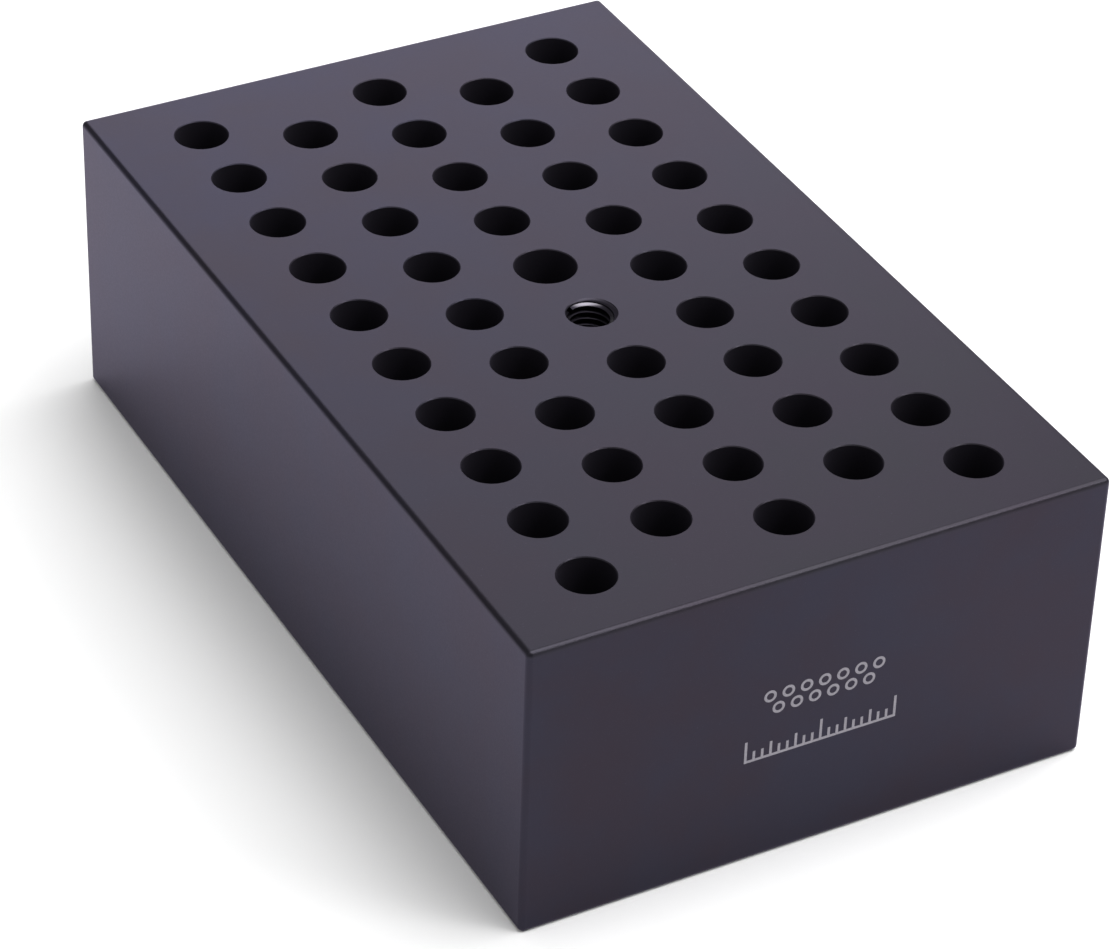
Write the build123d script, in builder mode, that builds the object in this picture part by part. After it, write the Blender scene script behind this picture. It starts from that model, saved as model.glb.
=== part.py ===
from build123d import *
import os
from math import radians, tan

# Interchangeable heating block for a dry block heater: one bar of black anodised
# aluminium with 46 blind wells for 6 mm tubes, a wider well for a thermometer, and a
# threaded hole near its middle for the lifting tool. A coiled steel wire insert lines
# that thread, so that the tool doesn't wear the soft aluminium.
# Millimetres. +Z is up and the origin is the centre of the underside. +Y runs along the
# block, and the short face at -Y is its marked front.

# Block
block_width = 66.3  # along X
block_length = 108.8  # along Y
block_height = 35.1
edge_radius = 0.6

# Wells: five columns, staggered by half a pitch, so the columns have ten and nine places
# by turns
column_pitch = 11.1
row_pitch = 10.15
column_places = (10, 9, 10, 9, 10)
well_diameter = 6.0
well_depth = 29.0  # of the full diameter, below the top face
thermometer_diameter = 6.8
mouth_chamfer = 0.1  # at 45 degrees
drill_point_angle = 118.0

# Lifting thread: M5 x 0.8 right-handed, inside the coiled wire of the insert
thread_pitch = 0.8
thread_diameter = 5.0
thread_core_diameter = 4.33  # inside the wire's crests
insert_turns = 12.5
insert_setback = 0.55  # of the wire's centre line, where its upper end is
insert_end_angle = 120.0  # of the wire's upper end, about the hole, from +X
insert_outside_diameter = 6.0

# Hole that the insert is wound into
insert_clearance = 0.02
trim_overlap = 0.03  # of a shape past the surface that trims it
tapping_diameter = 5.174
tapping_depth = 14.5
tap_turns_below = 2.0  # of cut thread beyond the insert's lower end
tap_turns_above = 1.5  # past its upper end, so that the cut runs out of the top face

# Both threads have 60 degree flanks. At its own pitch radius, each is as wide as its gap
flank = tan(radians(30))
half_pitch_width = thread_pitch / 4
pitch_offset = 0.6495 * thread_pitch / 2
inner_pitch_radius = thread_diameter / 2 - pitch_offset
outer_pitch_radius = thread_diameter / 2 + pitch_offset
wire_waist_radius = (inner_pitch_radius + outer_pitch_radius) / 2

# Places, from the back left corner: columns along +X and places towards the front
middle_column = len(column_places) // 2
lift_place = column_places[middle_column] // 2
thermometer_place = lift_place - 1


def place(column, number):
    """Centre of a hole, from its column and its number in the column."""
    x = (column - middle_column) * column_pitch
    y = ((column_places[column] - 1) / 2 - number) * row_pitch
    return (x, y, block_height)


lift_centre = place(middle_column, lift_place)
thermometer_centre = place(middle_column, thermometer_place)
well_centres = [
    place(column, number)
    for column, count in enumerate(column_places)
    for number in range(count)
    if place(column, number) not in (lift_centre, thermometer_centre)
]

# Both helices start over +X and climb, with the top face at Z = 0. The turn about the
# hole then brings the wire's upper end to its angle
insert_start = -insert_setback - insert_turns * thread_pitch
tap_start = insert_start - tap_turns_below * thread_pitch
tap_height = (tap_turns_below + insert_turns + tap_turns_above) * thread_pitch
thread_turn = insert_end_angle - 360 * insert_turns


def groove_half_width(radius):
    """Half the width, along the axis, of the groove that holds the wire."""
    return half_pitch_width - (radius - outer_pitch_radius) * flank + insert_clearance


# Space of the thread groove around the tapping hole
with BuildPart() as groove_space:
    groove_inner = tapping_diameter / 2 - trim_overlap
    groove_outer = insert_outside_diameter / 2 + insert_clearance
    with BuildLine() as groove_path:
        Helix(thread_pitch, tap_height, groove_inner, center=(0, 0, tap_start))
    with BuildSketch(Plane.XZ):
        with BuildLine():
            Polyline(
                (groove_inner, tap_start - groove_half_width(groove_inner)),
                (groove_outer, tap_start - groove_half_width(groove_outer)),
                (groove_outer, tap_start + groove_half_width(groove_outer)),
                (groove_inner, tap_start + groove_half_width(groove_inner)),
                close=True,
            )
        make_face()
    sweep(path=groove_path.line, is_frenet=True)


def drill(centres, diameter, depth):
    """Cut blind holes from the top face, each with a chamfered mouth and a drill's point."""
    point_height = diameter / 2 / tan(radians(drill_point_angle / 2))
    with Locations(*centres):
        CounterSinkHole(diameter / 2, diameter / 2 + mouth_chamfer, depth, 90)
    with Locations(*[(x, y, z - depth) for x, y, z in centres]):
        Cone(
            0,
            diameter / 2,
            point_height,
            align=(Align.CENTER, Align.CENTER, Align.MAX),
            mode=Mode.SUBTRACT,
        )


# Heating block
with BuildPart() as heating_block:
    Box(
        block_width,
        block_length,
        block_height,
        align=(Align.CENTER, Align.CENTER, Align.MIN),
    )
    fillet(heating_block.edges(), edge_radius)
    drill(well_centres, well_diameter, well_depth)
    drill([thermometer_centre], thermometer_diameter, well_depth)
    drill([lift_centre], tapping_diameter, tapping_depth)
    with Locations(Location(lift_centre, (0, 0, thread_turn))):
        add(groove_space.part, mode=Mode.SUBTRACT)

# Wire of the insert: six-sided, with the screw's thread inside and the groove's outside
with BuildPart() as wire_coil:
    crest_radius = thread_core_diameter / 2 - trim_overlap
    outside_radius = insert_outside_diameter / 2
    crest_half_width = half_pitch_width + (crest_radius - inner_pitch_radius) * flank
    waist_half_width = half_pitch_width + (wire_waist_radius - inner_pitch_radius) * flank
    outside_half_width = half_pitch_width - (outside_radius - outer_pitch_radius) * flank
    with BuildLine() as wire_path:
        Helix(
            thread_pitch,
            insert_turns * thread_pitch,
            wire_waist_radius,
            center=(0, 0, insert_start),
        )
    with BuildSketch(Plane.XZ):
        with BuildLine():
            Polyline(
                (crest_radius, insert_start - crest_half_width),
                (wire_waist_radius, insert_start - waist_half_width),
                (outside_radius, insert_start - outside_half_width),
                (outside_radius, insert_start + outside_half_width),
                (wire_waist_radius, insert_start + waist_half_width),
                (crest_radius, insert_start + crest_half_width),
                close=True,
            )
        make_face()
    sweep(path=wire_path.line, is_frenet=True)
    with Locations((0, 0, insert_start + insert_turns * thread_pitch / 2)):
        Cylinder(thread_core_diameter / 2, 2 * tapping_depth, mode=Mode.SUBTRACT)

# Thread insert, wound into the block
with BuildPart() as thread_insert:
    with Locations(Location(lift_centre, (0, 0, thread_turn))):
        add(wire_coil.part)

heating_block.part.label = "heating_block"
thread_insert.part.label = "thread_insert"

os.makedirs("parts", exist_ok=True)
export_step(heating_block.part, "parts/heating_block.step")
export_step(thread_insert.part, "parts/thread_insert.step")
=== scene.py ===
import bpy
import bmesh
import math
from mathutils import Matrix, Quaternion, Vector


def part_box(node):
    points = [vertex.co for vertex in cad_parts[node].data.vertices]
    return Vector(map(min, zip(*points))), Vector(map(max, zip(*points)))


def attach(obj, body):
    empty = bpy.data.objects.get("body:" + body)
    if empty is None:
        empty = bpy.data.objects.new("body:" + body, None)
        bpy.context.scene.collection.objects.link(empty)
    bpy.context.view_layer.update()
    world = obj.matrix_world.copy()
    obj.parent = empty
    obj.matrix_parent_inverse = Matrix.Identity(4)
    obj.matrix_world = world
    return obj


# Heating block of a dry block heater: black anodised aluminium with drilled wells, a wire
# thread insert in the lifting hole, and a light laser mark on its front face.
# Metres. The block stands on the floor at Z = 0, and its marked front faces -Y.

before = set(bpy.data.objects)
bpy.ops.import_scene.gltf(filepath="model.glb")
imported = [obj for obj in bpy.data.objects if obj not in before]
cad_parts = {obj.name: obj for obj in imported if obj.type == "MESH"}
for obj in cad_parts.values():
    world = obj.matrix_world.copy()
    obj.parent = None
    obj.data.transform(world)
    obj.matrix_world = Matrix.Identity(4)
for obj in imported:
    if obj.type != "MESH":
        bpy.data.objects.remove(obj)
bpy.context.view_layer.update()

MM = 0.001
block_low, block_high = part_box("heating_block")
top = block_high.z
front = block_low.y
middle = (block_low + block_high) / 2
insert_low, insert_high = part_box("thread_insert")
insert_axis = (insert_low + insert_high) / 2


# ---------------------------------------------------------------- shader helpers

class Shader:
    """A material's node tree, with one short call for each node that it needs."""

    def __init__(self, name):
        self.material = bpy.data.materials.new(name)
        self.material.use_nodes = True
        self.nodes = self.material.node_tree.nodes
        self.links = self.material.node_tree.links
        self.surface = self.nodes["Principled BSDF"]
        self.position = self.nodes.new("ShaderNodeNewGeometry").outputs["Position"]

    def feed(self, socket, value):
        """Link an output to a socket, or set the socket to a number or a colour."""
        if isinstance(value, bpy.types.NodeSocket):
            self.links.new(value, socket)
        else:
            socket.default_value = value

    def math(self, operation, first, second=0.0):
        """One sum. An operation on one value, such as ABSOLUTE, leaves the second alone."""
        node = self.nodes.new("ShaderNodeMath")
        node.operation = operation
        self.feed(node.inputs[0], first)
        self.feed(node.inputs[1], second)
        return node.outputs[0]

    def stretched(self, scale):
        """The position, in metres, with each axis multiplied by its own scale."""
        node = self.nodes.new("ShaderNodeVectorMath")
        node.operation = "MULTIPLY"
        self.links.new(self.position, node.inputs[0])
        node.inputs[1].default_value = scale
        return node.outputs[0]

    def noise(self, scale, detail=2.0, roughness=0.5, along=(1.0, 1.0, 1.0)):
        """Noise from 0 to 1, with scale as its waves in a metre."""
        node = self.nodes.new("ShaderNodeTexNoise")
        self.links.new(self.stretched(along), node.inputs["Vector"])
        node.inputs["Scale"].default_value = scale
        node.inputs["Detail"].default_value = detail
        node.inputs["Roughness"].default_value = roughness
        return node.outputs["Fac"]

    def ramp(self, value, low, high, start=0.0, end=1.0):
        """Value taken smoothly from start, at low, to end, at high."""
        node = self.nodes.new("ShaderNodeMapRange")
        node.interpolation_type = "SMOOTHSTEP"
        self.feed(node.inputs["Value"], value)
        node.inputs["From Min"].default_value = low
        node.inputs["From Max"].default_value = high
        node.inputs["To Min"].default_value = start
        node.inputs["To Max"].default_value = end
        return node.outputs["Result"]

    def mix(self, share, first, second):
        """A colour between two colours."""
        node = self.nodes.new("ShaderNodeMix")
        node.data_type = "RGBA"
        self.feed(node.inputs["Factor"], share)
        self.feed(node.inputs["A"], first)
        self.feed(node.inputs["B"], second)
        return node.outputs["Result"]

    def split(self, vector):
        """The X, Y and Z of a vector."""
        node = self.nodes.new("ShaderNodeSeparateXYZ")
        self.links.new(vector, node.inputs[0])
        return node.outputs

    def bump(self, height, distance):
        """Tilt the surface as if height, from 0 to 1, stood up to distance above it."""
        node = self.nodes.new("ShaderNodeBump")
        node.inputs["Strength"].default_value = 1.0
        node.inputs["Distance"].default_value = distance
        self.links.new(height, node.inputs["Height"])
        self.links.new(node.outputs["Normal"], self.surface.inputs["Normal"])


def grey(value, tint=(1.0, 1.0, 1.0)):
    """A grey of a lightness from 0 to 1, or that grey in a tint."""
    return (value * tint[0], value * tint[1], value * tint[2], 1.0)


# ---------------------------------------------------------------- materials

# Tints for grey()
PURPLE = (1.06, 0.95, 1.28)
LILAC = (1.0, 0.94, 1.08)
MAROON = (1.08, 0.95, 1.22)
INDIGO = (1.0, 0.96, 1.42)
SLATE = (1.02, 0.975, 1.16)
WINE = (1.14, 0.935, 1.28)

ETCH_WAVES = 5200.0  # of the etched grain, in a metre
PATCH_WAVES = 60.0  # of the dye's patches, in a metre
RIM = 1.5 * MM  # of the block's sides and rounded edges, which aren't in a well
WORN_AND_HIGHLIT_SIDE = Vector((0.34, 0.94, 0.0))  # of the lifting thread's first turn, where the tool rubs and a painted highlight lies


def dyed_skin(s, place, grain):
    """The dye: blue to slate across the top, red in patches, and redder on the sides."""
    on_top = s.ramp(place["Z"], top - 1.0 * MM, top)
    to_front_right = s.math("SUBTRACT", place["X"], place["Y"])
    drift = s.math("MULTIPLY", s.ramp(to_front_right, -60.0 * MM, 60.0 * MM), on_top)
    blue = s.mix(drift, grey(0.0297, INDIGO), grey(0.0297, SLATE))
    red = s.mix(on_top, grey(0.028, WINE), grey(0.0292, MAROON))
    patches = s.ramp(s.noise(PATCH_WAVES, detail=5.0, roughness=0.65), 0.3, 0.7)
    glints = s.ramp(grain, 0.62, 0.78)
    return s.mix(glints, s.mix(patches, red, blue), grey(0.05, PURPLE))


def depth_in_well(s, place):
    """0 on the outside of the block, rising to 1 just below the mouths of its holes."""
    inside_x = s.math("LESS_THAN", s.math("ABSOLUTE", place["X"]), block_high.x - RIM)
    inside_y = s.math("LESS_THAN", s.math("ABSOLUTE", place["Y"]), block_high.y - RIM)
    below = s.ramp(place["Z"], top - 0.25 * MM, top - 0.03 * MM, 1.0, 0.0)
    return s.math("MULTIPLY", s.math("MULTIPLY", inside_x, inside_y), below)


def anodised_aluminium():
    """Black anodised aluminium: fine etched grain, an uneven dye and dark wells."""
    s = Shader("anodised_aluminium")
    grain = s.noise(ETCH_WAVES, detail=3.0, roughness=0.6)
    place = s.split(s.position)
    in_well = depth_in_well(s, place)
    colour = s.mix(in_well, dyed_skin(s, place, grain), grey(0.03, PURPLE))
    s.feed(s.surface.inputs["Base Color"], colour)
    s.surface.inputs["Metallic"].default_value = 1.0
    s.surface.inputs["Specular Tint"].default_value = (0.9, 0.865, 1.0, 1.0)
    spots = s.math("MULTIPLY", s.math("SUBTRACT", grain, 0.5), 0.16)
    roughness = s.math("ADD", s.ramp(in_well, 0.0, 1.0, 0.38, 0.95), spots)
    s.feed(s.surface.inputs["Roughness"], roughness)
    s.bump(grain, 0.004 * MM)
    return s.material


def insert_steel():
    """Steel wire with a dark dry coat, partly painted shade; its first turn shows wear and a
    painted highlight.
    """
    s = Shader("insert_steel")
    streaks = s.noise(900.0, detail=3.0, along=(0.4, 0.4, 6.0))
    place = s.split(s.position)
    depth = s.math("SUBTRACT", top, place["Z"])
    # The first turn is light only on the side away from the camera: partly wear, partly a
    # painted highlight.
    first_turn = s.ramp(depth, 0.38 * MM, 0.57 * MM, 1.0, 0.0)
    in_x = s.math("MULTIPLY", s.math("SUBTRACT", place["X"], insert_axis.x), WORN_AND_HIGHLIT_SIDE.x)
    in_y = s.math("MULTIPLY", s.math("SUBTRACT", place["Y"], insert_axis.y), WORN_AND_HIGHLIT_SIDE.y)
    worn_and_highlit_side = s.ramp(s.math("ADD", in_x, in_y), 1.7 * MM, 2.3 * MM)
    # The dark coat over the rest of the wire is partly painted shade for the deep turns of
    # the hole.
    coat_and_shade = s.mix(streaks, grey(0.01, PURPLE), grey(0.03, PURPLE))
    wear_and_highlight = s.mix(streaks, grey(0.11, LILAC), grey(0.21, LILAC))
    colour = s.mix(s.math("MULTIPLY", first_turn, worn_and_highlit_side), coat_and_shade, wear_and_highlight)
    s.feed(s.surface.inputs["Base Color"], colour)
    s.surface.inputs["Metallic"].default_value = 1.0
    s.feed(s.surface.inputs["Roughness"], s.ramp(streaks, 0.3, 0.7, 0.3, 0.45))
    s.bump(streaks, 0.002 * MM)
    return s.material


def laser_mark():
    """Anodising that a laser has bleached to a light grey, a little uneven."""
    s = Shader("laser_mark")
    grain = s.noise(4500.0, detail=3.0, roughness=0.6)
    s.feed(s.surface.inputs["Base Color"], s.mix(grain, grey(0.16, LILAC), grey(0.34, LILAC)))
    s.surface.inputs["Roughness"].default_value = 0.7
    s.bump(grain, 0.003 * MM)
    return s.material


def pale_floor():
    """Matt white paper, very slightly clouded."""
    s = Shader("pale_floor")
    clouds = s.noise(3.0)
    s.feed(s.surface.inputs["Base Color"], s.mix(clouds, grey(0.93), grey(0.96)))
    s.surface.inputs["Roughness"].default_value = 0.9
    s.surface.inputs["Specular IOR Level"].default_value = 0.0
    return s.material


# ---------------------------------------------------------------- CAD nodes

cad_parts["heating_block"].data.materials[0] = anodised_aluminium()
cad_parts["thread_insert"].data.materials[0] = insert_steel()


# ---------------------------------------------------------------- mark on the front face

MARK_DEPTH = 0.03 * MM  # into the block, so that each shape is a closed solid
MARK_RISE = 0.02 * MM  # of the bleached skin, above the face
MARK_STROKE = 0.3 * MM
RING_RADIUS = 0.72 * MM
RING_PITCH = 2.1 * MM
SCALE_LENGTH = 17.4 * MM
SCALE_DIVISIONS = 18
END_TOOTH = 2.7 * MM
THIRD_TOOTH = 1.9 * MM
SHORT_TOOTH = 1.3 * MM


def prism(bm, outline, holes=()):
    """Closed solid on the front face. The outlines are (x, z) points, anticlockwise."""
    rings = [outline, *holes]
    edges = []
    for ring in rings:
        verts = [bm.verts.new((x, front - MARK_RISE, z)) for x, z in ring]
        edges += [bm.edges.new((a, b)) for a, b in zip(verts, verts[1:] + verts[:1])]
    filled = bmesh.ops.triangle_fill(bm, edges=edges, use_beauty=True)["geom"]
    faces = [f for f in filled if isinstance(f, bmesh.types.BMFace)]
    grown = bmesh.ops.extrude_face_region(bm, geom=faces)["geom"]
    moved = [v for v in grown if isinstance(v, bmesh.types.BMVert)]
    bmesh.ops.translate(bm, verts=moved, vec=(0, MARK_DEPTH + MARK_RISE, 0))


def circle(x, z, radius, count=28):
    turns = [2 * math.pi * i / count for i in range(count)]
    return [(x + radius * math.cos(t), z + radius * math.sin(t)) for t in turns]


def well_sign(bm, x, z, columns):
    """Two staggered rows of rings about (x, z), a small picture of the block's wells."""
    row_pitch = RING_PITCH * 0.8
    for row, count in ((0.5, columns), (-0.5, columns - 1)):
        for i in range(count):
            centre = x + (i - (count - 1) / 2) * RING_PITCH, z + row * row_pitch
            inside = circle(*centre, RING_RADIUS - MARK_STROKE)
            prism(bm, circle(*centre, RING_RADIUS), [inside])


def tooth_height(number):
    """Of a tooth of the scale: tall at its ends and middle, and taller at every third."""
    if number % (SCALE_DIVISIONS // 2) == 0:
        return END_TOOTH
    return THIRD_TOOTH if number % 3 == 0 else SHORT_TOOTH


def scale_sign(bm, x, z):
    """A scale bar: one comb, with its foot at height z and its middle at x."""
    left = x - SCALE_LENGTH / 2
    inner = z + MARK_STROKE
    outline = [(left, z), (left + SCALE_LENGTH + MARK_STROKE, z)]
    for i in reversed(range(SCALE_DIVISIONS + 1)):
        at = left + i * SCALE_LENGTH / SCALE_DIVISIONS
        tip = z + tooth_height(i)
        if i < SCALE_DIVISIONS:
            outline.append((at + MARK_STROKE, inner))
        outline += [(at + MARK_STROKE, tip), (at, tip)]
        if i > 0:
            outline.append((at, inner))
    prism(bm, outline)


def make_mark():
    bm = bmesh.new()
    well_sign(bm, 0.6 * MM, top - 15.3 * MM, columns=7)
    scale_sign(bm, 0.4 * MM, top - 22.2 * MM)
    bmesh.ops.recalc_face_normals(bm, faces=bm.faces)
    mesh = bpy.data.meshes.new("front_mark")
    bm.to_mesh(mesh)
    bm.free()
    mesh.materials.append(laser_mark())
    mark = bpy.data.objects.new("front_mark", mesh)
    bpy.context.collection.objects.link(mark)
    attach(mark, "root")


make_mark()


# ---------------------------------------------------------------- stage, light and camera

def make_floor():
    reach = 6.0
    mesh = bpy.data.meshes.new("floor")
    corners = [(-reach, -reach, 0), (reach, -reach, 0), (reach, reach, 0), (-reach, reach, 0)]
    mesh.from_pydata(corners, [], [(0, 1, 2, 3)])
    floor = bpy.data.objects.new("floor", mesh)
    bpy.context.collection.objects.link(floor)
    mesh.materials.append(pale_floor())


def softbox(name, azimuth, elevation, distance, size, radiance):
    """A square area light that faces the block. Angles are in degrees, and azimuth 0 is
    over -Y and 90 over +X. Distance and size are in metres."""
    a, e = math.radians(azimuth), math.radians(elevation)
    away = Vector((math.sin(a) * math.cos(e), -math.cos(a) * math.cos(e), math.sin(e)))
    data = bpy.data.lights.new(name, "AREA")
    data.shape = "SQUARE"
    data.size = size
    data.energy = radiance * math.pi * size * size  # watts
    lamp = bpy.data.objects.new(name, data)
    lamp.location = middle + away * distance
    lamp.rotation_mode = "QUATERNION"
    lamp.rotation_quaternion = away.to_track_quat("Z", "Y")
    bpy.context.collection.objects.link(lamp)


def make_camera():
    """The viewpoint: above the front left corner, with a long lens and a slight roll."""
    azimuth, elevation, roll = math.radians(-29.0), math.radians(35.45), math.radians(1.94)
    distance = 0.461
    aim = middle + Vector((-5.2, -8.2, 0.2)) * MM
    back = Vector((
        math.sin(azimuth) * math.cos(elevation),
        -math.cos(azimuth) * math.cos(elevation),
        math.sin(elevation),
    ))
    data = bpy.data.cameras.new("camera")
    data.sensor_fit = "HORIZONTAL"
    data.sensor_width = 36.0
    data.lens = 139.42
    data.clip_start = 0.01
    camera = bpy.data.objects.new("camera", data)
    camera.location = aim + back * distance
    camera.rotation_mode = "QUATERNION"
    camera.rotation_quaternion = back.to_track_quat("Z", "Y") @ Quaternion((0, 0, 1), roll)
    bpy.context.collection.objects.link(camera)
    bpy.context.scene.camera = camera


make_floor()
make_camera()
softbox("key", 72.0, 61.0, 0.9, 0.85, 2.65)
softbox("accent", 36.0, 45.0, 0.42, 0.1, 7.0)
softbox("front", 25.0, 12.0, 1.0, 0.45, 0.9)
softbox("right", 112.0, 42.0, 0.9, 0.6, 0.7)
softbox("zenith", 60.0, 86.0, 0.9, 0.6, 3.2)
softbox("back", 157.0, 24.0, 1.2, 0.72, 2.25)
softbox("fill", -85.0, 35.0, 1.2, 0.9, 0.35)

world = bpy.data.worlds.new("studio")
bpy.context.scene.world = world
world.use_nodes = True
backdrop = world.node_tree.nodes["Background"]
backdrop.inputs["Color"].default_value = grey(1.0)
backdrop.inputs["Strength"].default_value = 0.4

bpy.context.scene.view_settings.view_transform = "Standard"
